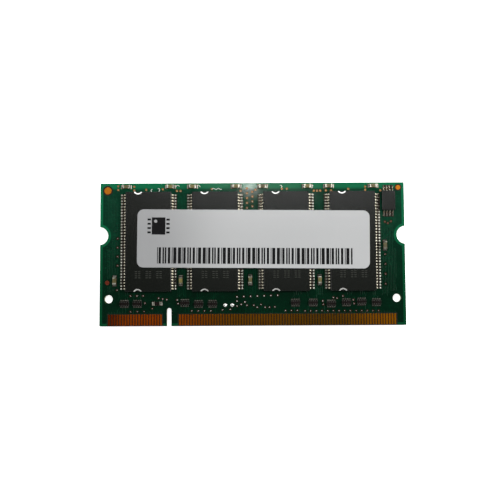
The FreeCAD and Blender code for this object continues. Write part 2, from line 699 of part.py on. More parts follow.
def resistor_coat(length, width, height):
    """The dark glass coat on top of the plate, between the terminals."""
    size = (length - 2 * TERMINAL_DEPTH, width, RESISTOR_COAT)
    return centred_box(*size, 0, 0, BOARD_FRONT + height - TERMINAL_WALL)


def two_terminal_resistor():
    length, width, height = RESISTOR
    solder = end_fillet(length / 2, CAPACITOR_PAD_SPAN[1], width * END_SOLDER_WIDTH,
                        height * RESISTOR_SOLDER_CLIMB)
    return {
        "plate": [resistor_block(length, width, height)],
        "coat": [resistor_coat(length, width, height)],
        "terminals": both_ends(wrap_terminal(width, length, height)),
        "solder": both_ends(solder),
        "pads": two_terminal_pads(),
    }


def resistor_array():
    """Four resistors on one plate, its terminals towards +X and -X."""
    width, length, height = ARRAY
    rows = [(index - (ARRAY_COUNT - 1) / 2) * ARRAY_PITCH for index in range(ARRAY_COUNT)]
    terminal = wrap_terminal(ARRAY_TERMINAL_WIDTH, length, height)
    low, high = ARRAY_PAD_SPAN
    solder = end_fillet(length / 2, high, ARRAY_TERMINAL_WIDTH, height * RESISTOR_SOLDER_CLIMB)
    pad = centred_box(high - low, ARRAY_TERMINAL_WIDTH, COPPER, (low + high) / 2, 0, BOARD_FRONT - COPPER)
    groups = {"terminals": terminal, "solder": solder, "pads": pad}
    pieces = {"plate": [resistor_block(length, width, height)],
              "coat": [resistor_coat(length, width, height)]}
    for name, piece in groups.items():
        pieces[name] = [end.translated(point(0, y)) for end in both_ends(piece) for y in rows]
    return pieces


def solder_dome():
    """A cap of solder on a round test land."""
    sphere_radius = (DOME_RADIUS ** 2 + DOME_HEIGHT ** 2) / (2 * DOME_HEIGHT)
    ball = Part.makeSphere(sphere_radius, point(0, 0, BOARD_FRONT + DOME_HEIGHT - sphere_radius))
    block = centred_box(4 * DOME_RADIUS, 4 * DOME_RADIUS, 2 * DOME_HEIGHT, 0, 0, BOARD_FRONT)
    return ball.common(block)


def add(store, pieces, names, x, y, turned=False):
    """Place some of a part's pieces and gather each under the node name it belongs to."""
    for piece_name, node in names.items():
        store.setdefault(node, []).extend(placed(pieces[piece_name], x, y, turned))


def face_parts(face, on_front):
    """Everything soldered to one face, as node name to solids, modelled as on the front face."""
    nodes = {}
    soldering = {"solder": "solder_joints_" + face, "pads": "pads_" + face}
    chip = memory_chip()
    for index, x in enumerate(CHIP_X):
        name = "memory_chip_" + face + "_" + str(index + 1)
        names = {"body": name + "_body", "leads": name + "_leads", "die": name + "_die"}
        add(nodes, chip, {**names, **soldering}, x, from_edge(CHIP_FROM_EDGE))
    if on_front:
        names = {part: "presence_chip_" + part for part in ("body", "leads", "die")}
        add(nodes, presence_chip(), {**names, **soldering}, EEPROM_X, from_edge(EEPROM_FROM_EDGE), True)
    names = {"body": "capacitors_" + face, "terminals": "capacitor_caps_" + face}
    for x, y, upright in capacitor_places():
        add(nodes, capacitor(), {**names, **soldering}, x, y, upright)
    names = {"plate": "array_plates_" + face, "coat": "array_coats_" + face}
    names["terminals"] = "array_terminals_" + face
    for x, distance in ARRAYS:
        add(nodes, resistor_array(), {**names, **soldering}, x, from_edge(distance), True)
    names = {"plate": "resistor_plates", "coat": "resistor_coats", "terminals": "resistor_terminals"}
    add(nodes, two_terminal_resistor(), {**names, **soldering}, RESISTOR_AT[0], from_edge(RESISTOR_AT[1]))
    for x, distance in DOMES:
        y = from_edge(distance)
        nodes[soldering["solder"]].append(solder_dome().translated(point(x, y)))
        land = Part.makeCylinder(DOME_RADIUS, COPPER, point(x, y, BOARD_FRONT - COPPER))
        nodes[soldering["pads"]].append(land)
    return nodes


def soldered_parts():
    """Write the parts of both faces; nodes named without a face gather pieces from both."""
    nodes = face_parts("front", True)
    for node, solids in face_parts("rear", False).items():
        nodes.setdefault(node, []).extend(on_rear(solid) for solid in solids)
    for node, solids in nodes.items():
        save(node, solids)


def bar_widths():
    """Made-up bar and gap widths, in modules, that fill the code's length."""
    modules_left = round(BAR_CODE_LENGTH / BAR_MODULE)
    widths = []
    step = 0
    while modules_left > 0:
        bar = 1 + (step * step + 3 * step) // 2 % 4
        gap = 1 + (5 * step + step // 4) % 2
        widths.append((min(bar, modules_left), gap))
        modules_left -= bar + gap
        step += 1
    return widths


def label_print():
    """A plain code of bars and a small pictogram of a chip, about the label's centre."""
    z = CHIP_FRONT + LABEL_THICKNESS
    prints = []
    x = BAR_CODE_START
    for bar, gap in bar_widths():
        prints.append(Part.makeBox(bar * BAR_MODULE, BAR_HEIGHT, PRINT_THICKNESS, point(x, BAR_CODE_BASE, z)))
        x += (bar + gap) * BAR_MODULE
    return prints + chip_pictogram(z)


def chip_pictogram(z):
    """A solid block with a dot left open in one corner and short pins along two sides."""
    wide, tall = MARK_BODY
    centre_x, centre_y = MARK_AT
    block = rectangle_wire(centre_x - wide / 2, centre_y - tall / 2, centre_x + wide / 2,
                           centre_y + tall / 2, z)
    dot = disc_wire(MARK_DOT_RADIUS, centre_x - wide / 2 + MARK_DOT_INSET,
                    centre_y + tall / 2 - MARK_DOT_INSET, z)
    pieces = [holed_face(block, [dot]).extrude(point(0, 0, PRINT_THICKNESS))]
    for side in (-1, 1):
        pin_x = centre_x + side * (wide / 2 + MARK_PIN_GAP + MARK_PIN[0] / 2)
        for index in range(MARK_PINS):
            pin_y = centre_y + (index - (MARK_PINS - 1) / 2) * MARK_PIN_PITCH
            pieces.append(centred_box(*MARK_PIN, PRINT_THICKNESS, pin_x, pin_y, z))
    return pieces


def label():
    """Write the paper label, stuck slightly askew across the front chips, and its print."""
    half_x = LABEL_SIZE[0] / 2
    half_y = LABEL_SIZE[1] / 2
    corners = [point(-half_x, -half_y, CHIP_FRONT), point(half_x, -half_y, CHIP_FRONT)]
    corners += [point(half_x, half_y, CHIP_FRONT), point(-half_x, half_y, CHIP_FRONT)]
    paper = Part.Face(rounded_wire(corners, [LABEL_CORNER] * 4)).extrude(point(0, 0, LABEL_THICKNESS))
    centre = point(LABEL_AT[0], from_edge(LABEL_AT[1]))
    for name, solids in (("label_paper", [paper]), ("label_print", label_print())):
        save(name, [solid.rotated(point(0, 0), UP, LABEL_TURN).translated(centre) for solid in solids])


os.makedirs("parts", exist_ok=True)
board_layers()
via_barrels()
edge_contacts()
alignment_marks()
soldered_parts()
label()
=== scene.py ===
import itertools
import json
import math
import random

import bmesh
import bpy
from mathutils import Matrix, Vector


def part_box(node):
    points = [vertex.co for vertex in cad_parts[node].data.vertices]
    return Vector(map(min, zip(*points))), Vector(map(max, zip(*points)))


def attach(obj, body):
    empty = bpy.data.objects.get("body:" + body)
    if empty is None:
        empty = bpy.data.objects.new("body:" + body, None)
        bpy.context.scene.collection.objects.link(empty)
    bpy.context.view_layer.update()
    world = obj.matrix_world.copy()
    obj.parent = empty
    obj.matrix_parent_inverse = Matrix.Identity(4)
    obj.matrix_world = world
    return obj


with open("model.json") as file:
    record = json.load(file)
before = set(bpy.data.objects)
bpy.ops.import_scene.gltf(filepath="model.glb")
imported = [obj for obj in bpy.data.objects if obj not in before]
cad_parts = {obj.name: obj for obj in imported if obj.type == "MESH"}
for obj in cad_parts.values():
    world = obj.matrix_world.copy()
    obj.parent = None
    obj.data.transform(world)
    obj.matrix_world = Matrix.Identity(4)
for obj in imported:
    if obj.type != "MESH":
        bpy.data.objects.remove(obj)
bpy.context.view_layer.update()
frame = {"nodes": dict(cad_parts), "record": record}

# A small-outline memory module: the CAD nodes carry procedural materials, and added pieces give
# the low relief of the copper tracks, the chips' laser strokes, and white arcs and a wave near the top
# edge.
# Blender's unit is the metre. Sizes here are in millimetres, and MM turns them into metres; only
# the floor, its glow and the lamps are given in metres.
MM = 0.001
rng = random.Random(20)


# ---------------------------------------------------------------- what the frame says

def box_mm(node):
    """A node's lowest and highest corner, in millimetres."""
    low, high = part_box(node)
    return Vector(low) / MM, Vector(high) / MM


BOARD_LOW, BOARD_HIGH = box_mm("pcb_core")
SURFACE = {"front": box_mm("solder_mask_front")[1].z, "rear": box_mm("solder_mask_rear")[0].z}
OUTWARD = {"front": 1, "rear": -1}
CHIPS = {face: ["memory_chip_" + face + "_" + str(index) for index in range(1, 5)]
         for face in ("front", "rear")}
MOUNTS = {mount["name"]: mount for mount in frame["record"]["mounts"]}
LATCH_NOTCH = Vector(MOUNTS["latch_notch_right"]["pos_m"]) / MM
LATCH_NOTCH_RADIUS = MOUNTS["latch_notch_right"]["dims"]["r_mm"]


def from_edge(distance):
    """The y of a line this far from the contact edge."""
    return BOARD_LOW.y + distance


def middle(box):
    """The middle of a flat box given as (x low, y low, x high, y high)."""
    return (box[0] + box[2]) / 2, (box[1] + box[3]) / 2


def islands(node):
    """The flat box of each separate solid in a node, sorted."""
    mesh = frame["nodes"][node].data
    matched = {}
    leader = []
    for index, vertex in enumerate(mesh.vertices):
        place = tuple(round(value / MM, 4) for value in vertex.co)
        leader.append(matched.setdefault(place, index))

    def root(index):
        while leader[index] != index:
            leader[index] = leader[leader[index]]
            index = leader[index]
        return index

    for edge in mesh.edges:
        first, second = root(edge.vertices[0]), root(edge.vertices[1])
        leader[max(first, second)] = min(first, second)
    boxes = {}
    for index, vertex in enumerate(mesh.vertices):
        x, y = vertex.co.x / MM, vertex.co.y / MM
        low_x, low_y, high_x, high_y = boxes.get(root(index), (x, y, x, y))
        boxes[root(index)] = (min(low_x, x), min(low_y, y), max(high_x, x), max(high_y, y))
    return sorted(boxes.values())


# ---------------------------------------------------------------- node graphs

class Graph:
    """A material's node tree, with short calls that return output sockets."""

    # The colour sockets of a Mix node; its sockets share their names, so they go by number.
    MIX_FACTOR = 0
    MIX_FIRST = 6
    MIX_SECOND = 7
    MIX_RESULT = 2

    def __init__(self, name):
        self.material = bpy.data.materials.new(name)
        self.material.use_nodes = True
        self.tree = self.material.node_tree
        self.shader = self.tree.nodes["Principled BSDF"]
        self.place = self.tree.nodes.new("ShaderNodeTexCoord").outputs["Object"]

    def set(self, **values):
        """Set the shader's own sockets: Metallic, Specular_IOR_Level and so on."""
        for name, value in values.items():
            self.shader.inputs[name.replace("_", " ")].default_value = value

    def link(self, socket, name):
        """Link a socket to one of the shader's own."""
        self.tree.links.new(socket, self.shader.inputs[name])

    def feed(self, node, slot, value):
        """Link a socket to a node's input, or set the input to a number or a colour."""
        if isinstance(value, bpy.types.NodeSocket):
            self.tree.links.new(value, node.inputs[slot])
        elif isinstance(value, tuple):
            node.inputs[slot].default_value = (*value, 1.0)
        else:
            node.inputs[slot].default_value = value

    def math(self, operation, first, second=0.0):
        node = self.tree.nodes.new("ShaderNodeMath")
        node.operation = operation
        self.feed(node, 0, first)
        self.feed(node, 1, second)
        return node.outputs[0]

    def length(self, x, y):
        """The length of a flat vector."""
        squares = self.math("ADD", self.math("POWER", x, 2.0), self.math("POWER", y, 2.0))
        return self.math("SQRT", squares)

    def split(self, vector):
        """A vector's x, y and z."""
        node = self.tree.nodes.new("ShaderNodeSeparateXYZ")
        self.tree.links.new(vector, node.inputs[0])
        return node.outputs

    def axes(self):
        """The place on the object, in metres."""
        return self.split(self.place)

    def facing(self):
        """The surface normal."""
        return self.split(self.tree.nodes.new("ShaderNodeNewGeometry").outputs["Normal"])

    def step(self, value, low, high):
        """0 at low, 1 at high, smooth between; low may be the larger."""
        node = self.tree.nodes.new("ShaderNodeMapRange")
        node.interpolation_type = "SMOOTHSTEP"
        self.feed(node, "Value", value)
        node.inputs["From Min"].default_value = low
        node.inputs["From Max"].default_value = high
        return node.outputs["Result"]

    def step_mm(self, value, low, high):
        """The same for a length, with low and high in millimetres."""
        return self.step(value, low * MM, high * MM)

    def span(self, value, low, high):
        """Map 0..1 to low..high."""
        node = self.tree.nodes.new("ShaderNodeMapRange")
        self.feed(node, "Value", value)
        node.inputs["To Min"].default_value = low
        node.inputs["To Max"].default_value = high
        return node.outputs["Result"]

    def noise(self, size_mm, detail=2.0, rough=0.5, stretch=(1, 1, 1)):
        """Noise whose blotches are about size_mm across; a stretch below 1 draws them out."""
        mapping = self.tree.nodes.new("ShaderNodeMapping")
        mapping.vector_type = "POINT"
        mapping.inputs["Scale"].default_value = stretch
        self.tree.links.new(self.place, mapping.inputs["Vector"])
        node = self.tree.nodes.new("ShaderNodeTexNoise")
        self.tree.links.new(mapping.outputs[0], node.inputs["Vector"])
        node.inputs["Scale"].default_value = 1.0 / (size_mm * MM)
        node.inputs["Detail"].default_value = detail
        node.inputs["Roughness"].default_value = rough
        return node.outputs["Fac"]

    def blend(self, kind, factor, first, second):
        """The second colour laid over the first, both sockets or (red, green, blue)."""
        node = self.tree.nodes.new("ShaderNodeMix")
        node.data_type = "RGBA"
        node.blend_type = kind
        self.feed(node, self.MIX_FACTOR, factor)
        self.feed(node, self.MIX_FIRST, first)
        self.feed(node, self.MIX_SECOND, second)
        return node.outputs[self.MIX_RESULT]

    def mix(self, factor, first, second):
        return self.blend("MIX", factor, first, second)

    def multiply(self, first, second):
        return self.blend("MULTIPLY", 1.0, first, second)

    def bump(self, height, depth_mm, strength):
        node = self.tree.nodes.new("ShaderNodeBump")
        node.inputs["Strength"].default_value = strength
        node.inputs["Distance"].default_value = depth_mm * MM
        self.feed(node, "Height", height)
        self.link(node.outputs["Normal"], "Normal")


# ---------------------------------------------------------------- materials

PLANE_BORDER = 0.6
# Pairs of y between which a material goes over from one tone to the next.
# The mask's painted light: lighter towards the top edge.
MASK_PAINTED_LIGHT_RISE = (-11.0, 15.5)
MASK_TOP_RIM = (14.2, 15.0)
# The painted highlight on the chips' recess walls, brighter towards the top edge.
RECESS_HIGHLIGHT_RISE = (-6.0, 10.0)
# The label's painted light: lighter towards the top edge.
LABEL_PAINTED_LIGHT_RISE = (3.0, 12.0)
# The same along x, for the label's painted shade, greyer towards its left end.
LABEL_PAINTED_SHADE_ALONG = (-23.0, -3.0)
# The z of the normals on the walls of the chips' end recesses, where their painted highlight lies:
# in from the first pair, out by the second.
RECESS_TILT = ((0.82, 0.87), (0.96, 0.93))
# The two solder domes on the test lands, with a painted highlight: the point midway between them,
# and the distances from it, along x and along y, at which the highlight is gone and is full.
DOME_HIGHLIGHT_MIDDLE = (-5.32, from_edge(4.6))
DOME_HIGHLIGHT_X = (1.6, 1.3)
DOME_HIGHLIGHT_Y = (0.8, 0.6)
CONTACT_PITCH = 0.6
# The tone of the contacts left of the first stretch of x, and after each stretch: painted reflection.
FIRST_REFLECTED_GOLD = (0.18, 0.022, 0.001)
LATER_REFLECTED_GOLDS = (
    (-32.0, -27.0, (0.42, 0.072, 0.001)),
    (-24.0, -2.0, (0.18, 0.066, 0.001)),
    (0.0, 14.0, (0.125, 0.052, 0.001)),
    (18.0, 31.0, (0.30, 0.105, 0.001)),
)
WHITE = (1.0, 1.0, 1.0)


def plane_border(graph):
    """1 along the board's outline, where the inner copper planes stop short, else 0."""
    soft = 0.12
    x, y = graph.axes()[0:2]
    side = graph.math("ABSOLUTE", x)

    def band(value, limit):
        return graph.step_mm(value, limit - PLANE_BORDER - soft, limit - PLANE_BORDER + soft)

    edges = graph.math("MAXIMUM", band(side, BOARD_HIGH.x),
                       band(graph.math("ABSOLUTE", y), BOARD_HIGH.y))
    across = graph.math("SUBTRACT", side, LATCH_NOTCH.x * MM)
    along = graph.math("SUBTRACT", y, LATCH_NOTCH.y * MM)
    reach = LATCH_NOTCH_RADIUS + PLANE_BORDER
    notch = graph.step_mm(graph.length(across, along), reach + soft, reach - soft)
    return graph.math("MAXIMUM", edges, notch)


def solder_mask(name, field, border, shine):
    """Green mask, lighter along the outline, with painted light lightening it towards the top edge;
    field and border are pairs: contact edge, top edge.
    """
    graph = Graph(name)
    y = graph.axes()[1]
    # Painted light: field and border both lighter towards the top edge.
    rise = graph.step_mm(y, *MASK_PAINTED_LIGHT_RISE)
    rim = graph.mix(rise, *border)
    cloud = graph.step(graph.noise(5.0, detail=3.0, rough=0.6), 0.35, 0.68)
    tone = graph.multiply(graph.mix(cloud, (0.72, 0.72, 0.72), WHITE), graph.mix(rise, *field))
    weave = graph.step(graph.noise(0.45), 0.5, 0.78)
    lit = graph.mix(graph.math("MULTIPLY", weave, 0.22), tone, rim)
    edge = graph.math("MAXIMUM", plane_border(graph), graph.step_mm(y, *MASK_TOP_RIM))
    graph.link(graph.mix(edge, lit, rim), "Base Color")
    graph.link(graph.span(graph.noise(1.2), 0.06, 0.10), "Roughness")
    graph.set(IOR=1.5, Specular_IOR_Level=shine)
    graph.bump(graph.noise(0.5, detail=3.0, rough=0.6), depth_mm=0.003, strength=0.3)
    return graph.material


def laminate():
    """Glass cloth in epoxy: pale and threaded on the board's cut walls, dark on its flat faces."""
    graph = Graph("glass_epoxy")
    up = graph.math("ABSOLUTE", graph.facing()[2])
    threads = graph.noise(0.5, detail=3.0, rough=0.6, stretch=(1, 1, 9))
    wall = graph.mix(graph.step(threads, 0.35, 0.65), (0.13, 0.14, 0.05), (0.36, 0.36, 0.2))
    flat = graph.mix(graph.noise(0.6, detail=3.0), (0.005, 0.0035, 0.001), (0.014, 0.008, 0.002))
    graph.link(graph.mix(graph.step(up, 0.3, 0.7), wall, flat), "Base Color")
    graph.link(graph.span(threads, 0.45, 0.75), "Roughness")
    graph.set(Specular_IOR_Level=0.2)
    graph.bump(threads, depth_mm=0.03, strength=0.6)
    return graph.material


def moulding():
    """Black moulding compound, with a painted highlight on the walls of the end recesses, brighter
    towards the top edge.
    """
    graph = Graph("moulding_compound")
    grain = graph.noise(0.09, detail=4.0, rough=0.7)
    flow = graph.noise(3.0, detail=3.0, rough=0.6)
    base = graph.mix(flow, (0.0018, 0.0028, 0.0015), (0.0030, 0.0040, 0.0025))
    speck = graph.math("MULTIPLY", graph.step(grain, 0.62, 0.8), 0.3)
    body = graph.mix(speck, base, (0.016, 0.018, 0.014))
    tilt = graph.facing()[2]
    slope = graph.math("MULTIPLY", *(graph.step(tilt, *limits) for limits in RECESS_TILT))
    # Painted highlight on the recess walls, brighter towards the top edge.
    rise = graph.step_mm(graph.axes()[1], *RECESS_HIGHLIGHT_RISE)
    wall = graph.mix(rise, (0.42, 0.42, 0.40), (0.98, 0.98, 0.95))
    graph.link(graph.mix(slope, body, wall), "Base Color")
    smoother = graph.math("MULTIPLY", slope, 0.08)
    graph.link(graph.math("SUBTRACT", graph.span(grain, 0.23, 0.29), smoother), "Roughness")
    graph.set(IOR=1.5, Specular_IOR_Level=0.27)
    graph.bump(grain, depth_mm=0.002, strength=0.3)
    return graph.material


def metal(name, low, high, rough, grain_mm, bump_mm, metallic=1.0):
    """A metal whose tone and roughness wander between two values, in patches of nine grains."""
    graph = Graph(name)
    grain = graph.noise(grain_mm, detail=3.0, rough=0.6)
    patch = graph.noise(grain_mm * 9)
    graph.link(graph.mix(graph.step(patch, 0.3, 0.7), low, high), "Base Color")
    graph.link(graph.span(grain, *rough), "Roughness")
    graph.set(Metallic=metallic)
    graph.bump(grain, bump_mm, strength=0.7)
    return graph.material


def aged_copper(name, painted_shade_tone, painted_lit_tone, rise):
    """Bare or plated copper: painted shade darker and redder below the rise's first y, painted light
    brighter above its second.
    """
    graph = Graph(name)
    grain = graph.noise(0.1, detail=3.0, rough=0.6)
    # Painted light: brighter towards the top edge, darker and redder towards the contacts.
    tone = graph.mix(graph.step_mm(graph.axes()[1], *rise), painted_shade_tone, painted_lit_tone)
    shade = graph.mix(graph.step(grain, 0.3, 0.7), (0.8, 0.8, 0.8), WHITE)
    graph.link(graph.multiply(shade, tone), "Base Color")
    graph.link(graph.span(grain, 0.28, 0.42), "Roughness")
    graph.set(Metallic=0.6, Specular_IOR_Level=0.2)
    graph.bump(grain, depth_mm=0.004, strength=0.6)
    return graph.material


def solder():
    """Dull solder fillets, with a painted highlight keeping the two domes on the test lands bright."""
    graph = Graph("solder")
    grain = graph.noise(0.12, detail=3.0, rough=0.6)
    near = []
    for axis, middle_mm, limits in zip(graph.axes(), DOME_HIGHLIGHT_MIDDLE, (DOME_HIGHLIGHT_X, DOME_HIGHLIGHT_Y)):
        away = graph.math("ABSOLUTE", graph.math("SUBTRACT", axis, middle_mm * MM))
        near.append(graph.step_mm(away, *limits))
    patch = graph.step(graph.noise(1.1), 0.3, 0.7)
    fillets = graph.mix(patch, (0.06, 0.062, 0.05), (0.11, 0.11, 0.095))
    # Painted highlight on the two domes.
    dome_highlight = graph.math("MULTIPLY", *near)
    graph.link(graph.mix(dome_highlight, fillets, (0.80, 0.80, 0.76)), "Base Color")
    graph.link(graph.span(grain, 0.12, 0.22), "Roughness")
    graph.set(Metallic=0.9)
    graph.bump(grain, depth_mm=0.004, strength=0.7)
    return graph.material


def contact_gold(name, node):
    """Gold contacts: wear lines along the insertion direction, painted shade at the sides, a painted
    highlight down the middle, and a painted reflection along x, redder at the left end.
    """
    graph = Graph(name)
    x = graph.axes()[0]
    tone = FIRST_REFLECTED_GOLD
    # Painted reflection: the tone rises and falls along x.
    for low, high, later in LATER_REFLECTED_GOLDS:
        tone = graph.mix(graph.step_mm(x, low, high), tone, later)
    off_middle = graph.math("SUBTRACT", x, middle(islands(node)[0])[0] * MM)
    turns = graph.math("MULTIPLY", off_middle, 2 * math.pi / (CONTACT_PITCH * MM))
    # Painted shade on each contact's sides and a painted highlight along its middle.
    face = graph.step(graph.math("COSINE", turns), -0.75, 0.5)
    tone = graph.multiply(graph.mix(face, (0.35, 0.30, 0.30), (1.15, 1.15, 1.0)), tone)
    lines = graph.noise(0.06, detail=3.0, rough=0.6, stretch=(1, 0.06, 1))
    worn = graph.math("MULTIPLY", graph.step(lines, 0.55, 0.8), 0.3)
    graph.link(graph.mix(worn, tone, graph.multiply(tone, (1.7, 1.9, 3.0))), "Base Color")
    graph.link(graph.span(lines, 0.22, 0.42), "Roughness")
    graph.set(Metallic=1.0)
    graph.bump(lines, depth_mm=0.004, strength=0.6)
    return graph.material


def ceramic(name, low, high, rough):
    """Fired ceramic: two tones in wide patches, with a fine darker grain."""
    graph = Graph(name)
    patch = graph.noise(4.0, detail=1.0)
    grain = graph.noise(0.12, detail=3.0, rough=0.7)
    tone = graph.mix(graph.step(patch, 0.35, 0.65), low, high)
    darker = tuple(channel * 0.6 for channel in low)
    graph.link(graph.mix(graph.math("MULTIPLY", grain, 0.45), tone, darker), "Base Color")
    graph.link(graph.span(grain, *rough), "Roughness")
    graph.bump(grain, depth_mm=0.01, strength=0.5)
    return graph.material


def paper():
    """The label's paper, with painted shade greying it towards its left end and painted light lightening
    it towards the top edge.
    """
    graph = Graph("label_paper")
    x, y = graph.axes()[0:2]
    even = graph.mix(graph.noise(12.0), (0.41, 0.415, 0.415), (0.436, 0.441, 0.441))
    base = graph.mix(graph.step_mm(x, *LABEL_PAINTED_SHADE_ALONG), (0.285, 0.288, 0.290), even)
    base = graph.mix(graph.step_mm(y, *LABEL_PAINTED_LIGHT_RISE), base, graph.multiply(base, (1.08, 1.08, 1.08)))
    fibre = graph.noise(0.25, detail=4.0, rough=0.65)
    graph.link(graph.mix(graph.math("MULTIPLY", fibre, 0.12), base, (0.33, 0.33, 0.335)), "Base Color")
    graph.link(graph.span(fibre, 0.38, 0.5), "Roughness")
    graph.set(IOR=1.45, Specular_IOR_Level=0.3)
    graph.bump(fibre, depth_mm=0.006, strength=0.4)
    return graph.material


def ink(name, tone, rough):
    """Print or laser strokes: one pigment, a little uneven where it soaked in."""
    graph = Graph(name)
    uneven = graph.noise(0.15, detail=3.0, rough=0.6)
    lighter = tuple(channel * 1.5 + 0.004 for channel in tone)
    graph.link(graph.mix(graph.step(uneven, 0.45, 0.8), tone, lighter), "Base Color")
    graph.link(graph.span(uneven, rough - 0.08, rough + 0.08), "Roughness")
    graph.set(Specular_IOR_Level=0.08)
    return graph.material


def resistor_glass():
    """The dark glass over the resistors."""
    graph = Graph("resistor_glass")
    flow = graph.noise(0.4)
    graph.link(graph.mix(flow, (0.0035, 0.0022, 0.0015), (0.008, 0.005, 0.004)), "Base Color")
    graph.link(graph.span(flow, 0.16, 0.26), "Roughness")
    graph.set(Specular_IOR_Level=0.35)
    graph.bump(flow, depth_mm=0.006, strength=0.4)
    return graph.material


# Each pair runs from the contact edge to the top edge; its lighter second tone is painted light.
MASK_FIELD = ((0.0008, 0.0135, 0.0055), (0.0036, 0.0400, 0.0195))
MASK_BORDER = ((0.0014, 0.0450, 0.0160), (0.0058, 0.1250, 0.0520))
MASK_OVER_COPPER = ((0.0014, 0.0240, 0.0100), (0.0040, 0.0560, 0.0280))
# A metal's or ceramic's numbers are its darker tone, its lighter tone and its range of roughness;
# a metal adds its grain and its bump.
MATERIALS = {
    "laminate": laminate(),
    "solder_mask": solder_mask("solder_mask", MASK_FIELD, MASK_BORDER, 0.45),
    # Copper: painted shade towards the contacts and painted light towards the top edge.
    "copper": aged_copper("copper_mark", (0.17, 0.028, 0.014), (0.43, 0.135, 0.005), (-8.0, 12.0)),
    "plated_copper": aged_copper(
        "plated_copper", (0.055, 0.013, 0.006), (0.29, 0.135, 0.035), (5.0, 14.5)),
    "contact_gold": contact_gold("contact_gold", "contacts_front_long_row"),
    "rear_contact_gold": contact_gold("rear_contact_gold", "contacts_rear_long_row"),
    "solder": solder(),
    "tin_plate": metal(
        "tin_plate", (0.24, 0.225, 0.175), (0.36, 0.34, 0.275), (0.12, 0.22), 0.07, 0.002),
    # Near-black tin for the array terminals: painted shade in place of their dark reflections.
    "dull_tin": metal(
        "dull_tin", (0.016, 0.019, 0.013), (0.040, 0.042, 0.031), (0.22, 0.32), 0.07, 0.002),
    # Lighter tin for the end caps and resistor terminals: its light patches are painted highlights.
    "bright_tin": metal(
        "bright_tin", (0.20, 0.19, 0.14), (0.66, 0.64, 0.54), (0.14, 0.26), 0.06, 0.006, metallic=0.7),
    "silicon": metal("silicon", (0.10, 0.11, 0.13), (0.14, 0.15, 0.17), (0.1, 0.2), 0.5, 0.001),
    "mould_compound": moulding(),
    "capacitor_ceramic": ceramic(
        "capacitor_ceramic", (0.058, 0.045, 0.009), (0.165, 0.135, 0.026), (0.35, 0.5)),
    "alumina": ceramic("alumina", (0.62, 0.60, 0.55), (0.70, 0.68, 0.64), (0.5, 0.7)),
    "dark_alumina": ceramic(
        "dark_alumina", (0.012, 0.010, 0.008), (0.022, 0.019, 0.015), (0.5, 0.7)),
    "resistor_glass": resistor_glass(),
    "label_paper": paper(),
    "label_ink": ink("label_ink", (0.004, 0.004, 0.0045), 0.5),
}
TRACK_MATERIAL = solder_mask("mask_over_copper", MASK_OVER_COPPER, MASK_BORDER, 0.15)
LASER_MATERIAL = ink("laser_stroke", (0.028, 0.030, 0.025), 0.6)
WHITE_STROKE_MATERIAL = ink("board_print", (0.66, 0.68, 0.62), 0.6)
# Nodes whose look differs from that of their slot, by the start of their names.
OWN_FINISH = {
    "array_plates": "dark_alumina",
    "array_terminals": "dull_tin",
    "capacitor_caps": "bright_tin",
    "resistor_terminals": "bright_tin",
    "contacts_rear": "rear_contact_gold",
}


def dress_nodes():
    """Give every CAD node the material of its slot, or its own finish where it has one."""
    for part in frame["record"]["subparts"]:
        node = part["node"]
        finish = part["material_slot"]
        for start, own in OWN_FINISH.items():
            if node.startswith(start):
                finish = own
        for slot in frame["nodes"][node].material_slots:
            slot.material = MATERIALS[finish]


# ---------------------------------------------------------------- added pieces

def new_piece(name, build, material):
    """Build a mesh in millimetres, turn it into metres and let it ride on the module."""
    mesh = bpy.data.meshes.new(name)
    work = bmesh.new()
    build(work)
    bmesh.ops.recalc_face_normals(work, faces=work.faces)
    work.transform(Matrix.Scale(MM, 4))
    work.to_mesh(mesh)
    work.free()
    mesh.materials.append(material)
    piece = bpy.data.objects.new(name, mesh)
    bpy.context.scene.collection.objects.link(piece)
    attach(piece, "root")


def add_ridge(work, path, half_width, floor_z, height, outward):
    """A closed low ridge along a flat path: a raised top with sloping sides."""
    top_share = 0.6
    sharpest = 0.5
    rings = []
    for index, here in enumerate(path):
        before = path[max(index - 1, 0)]
        after = path[min(index + 1, len(path) - 1)]
        first = (here - before).normalized() if index else (after - here).normalized()
        second = (after - here).normalized() if index < len(path) - 1 else first
        normal = Vector((-first.y - second.y, first.x + second.x)).normalized()
        reach = half_width / max(normal.dot(Vector((-first.y, first.x))), sharpest)
        ring = []
        for side, z in ((-1, 0), (-top_share, height), (top_share, height), (1, 0)):
            spot = here + normal * reach * side
            ring.append(work.verts.new((spot.x, spot.y, floor_z + outward * z)))
        rings.append(ring)
    for ring, following in zip(rings, rings[1:]):
        for corner in range(4):
            work.faces.new((ring[corner], ring[(corner + 1) % 4],
                            following[(corner + 1) % 4], following[corner]))
    work.faces.new(rings[0])
    work.faces.new(rings[-1][::-1])


def add_plate(work, low_x, low_y, high_x, high_y, low_z, high_z):
    """A thin flat plate, as eight corners and six faces."""
    corners = [work.verts.new((x, y, z)) for z in (low_z, high_z)
               for x, y in ((low_x, low_y), (high_x, low_y), (high_x, high_y), (low_x, high_y))]
    for face in ((0, 3, 2, 1), (4, 5, 6, 7), (0, 1, 5, 4), (1, 2, 6, 5), (2, 3, 7, 6), (3, 0, 4, 7)):
        work.faces.new([corners[index] for index in face])


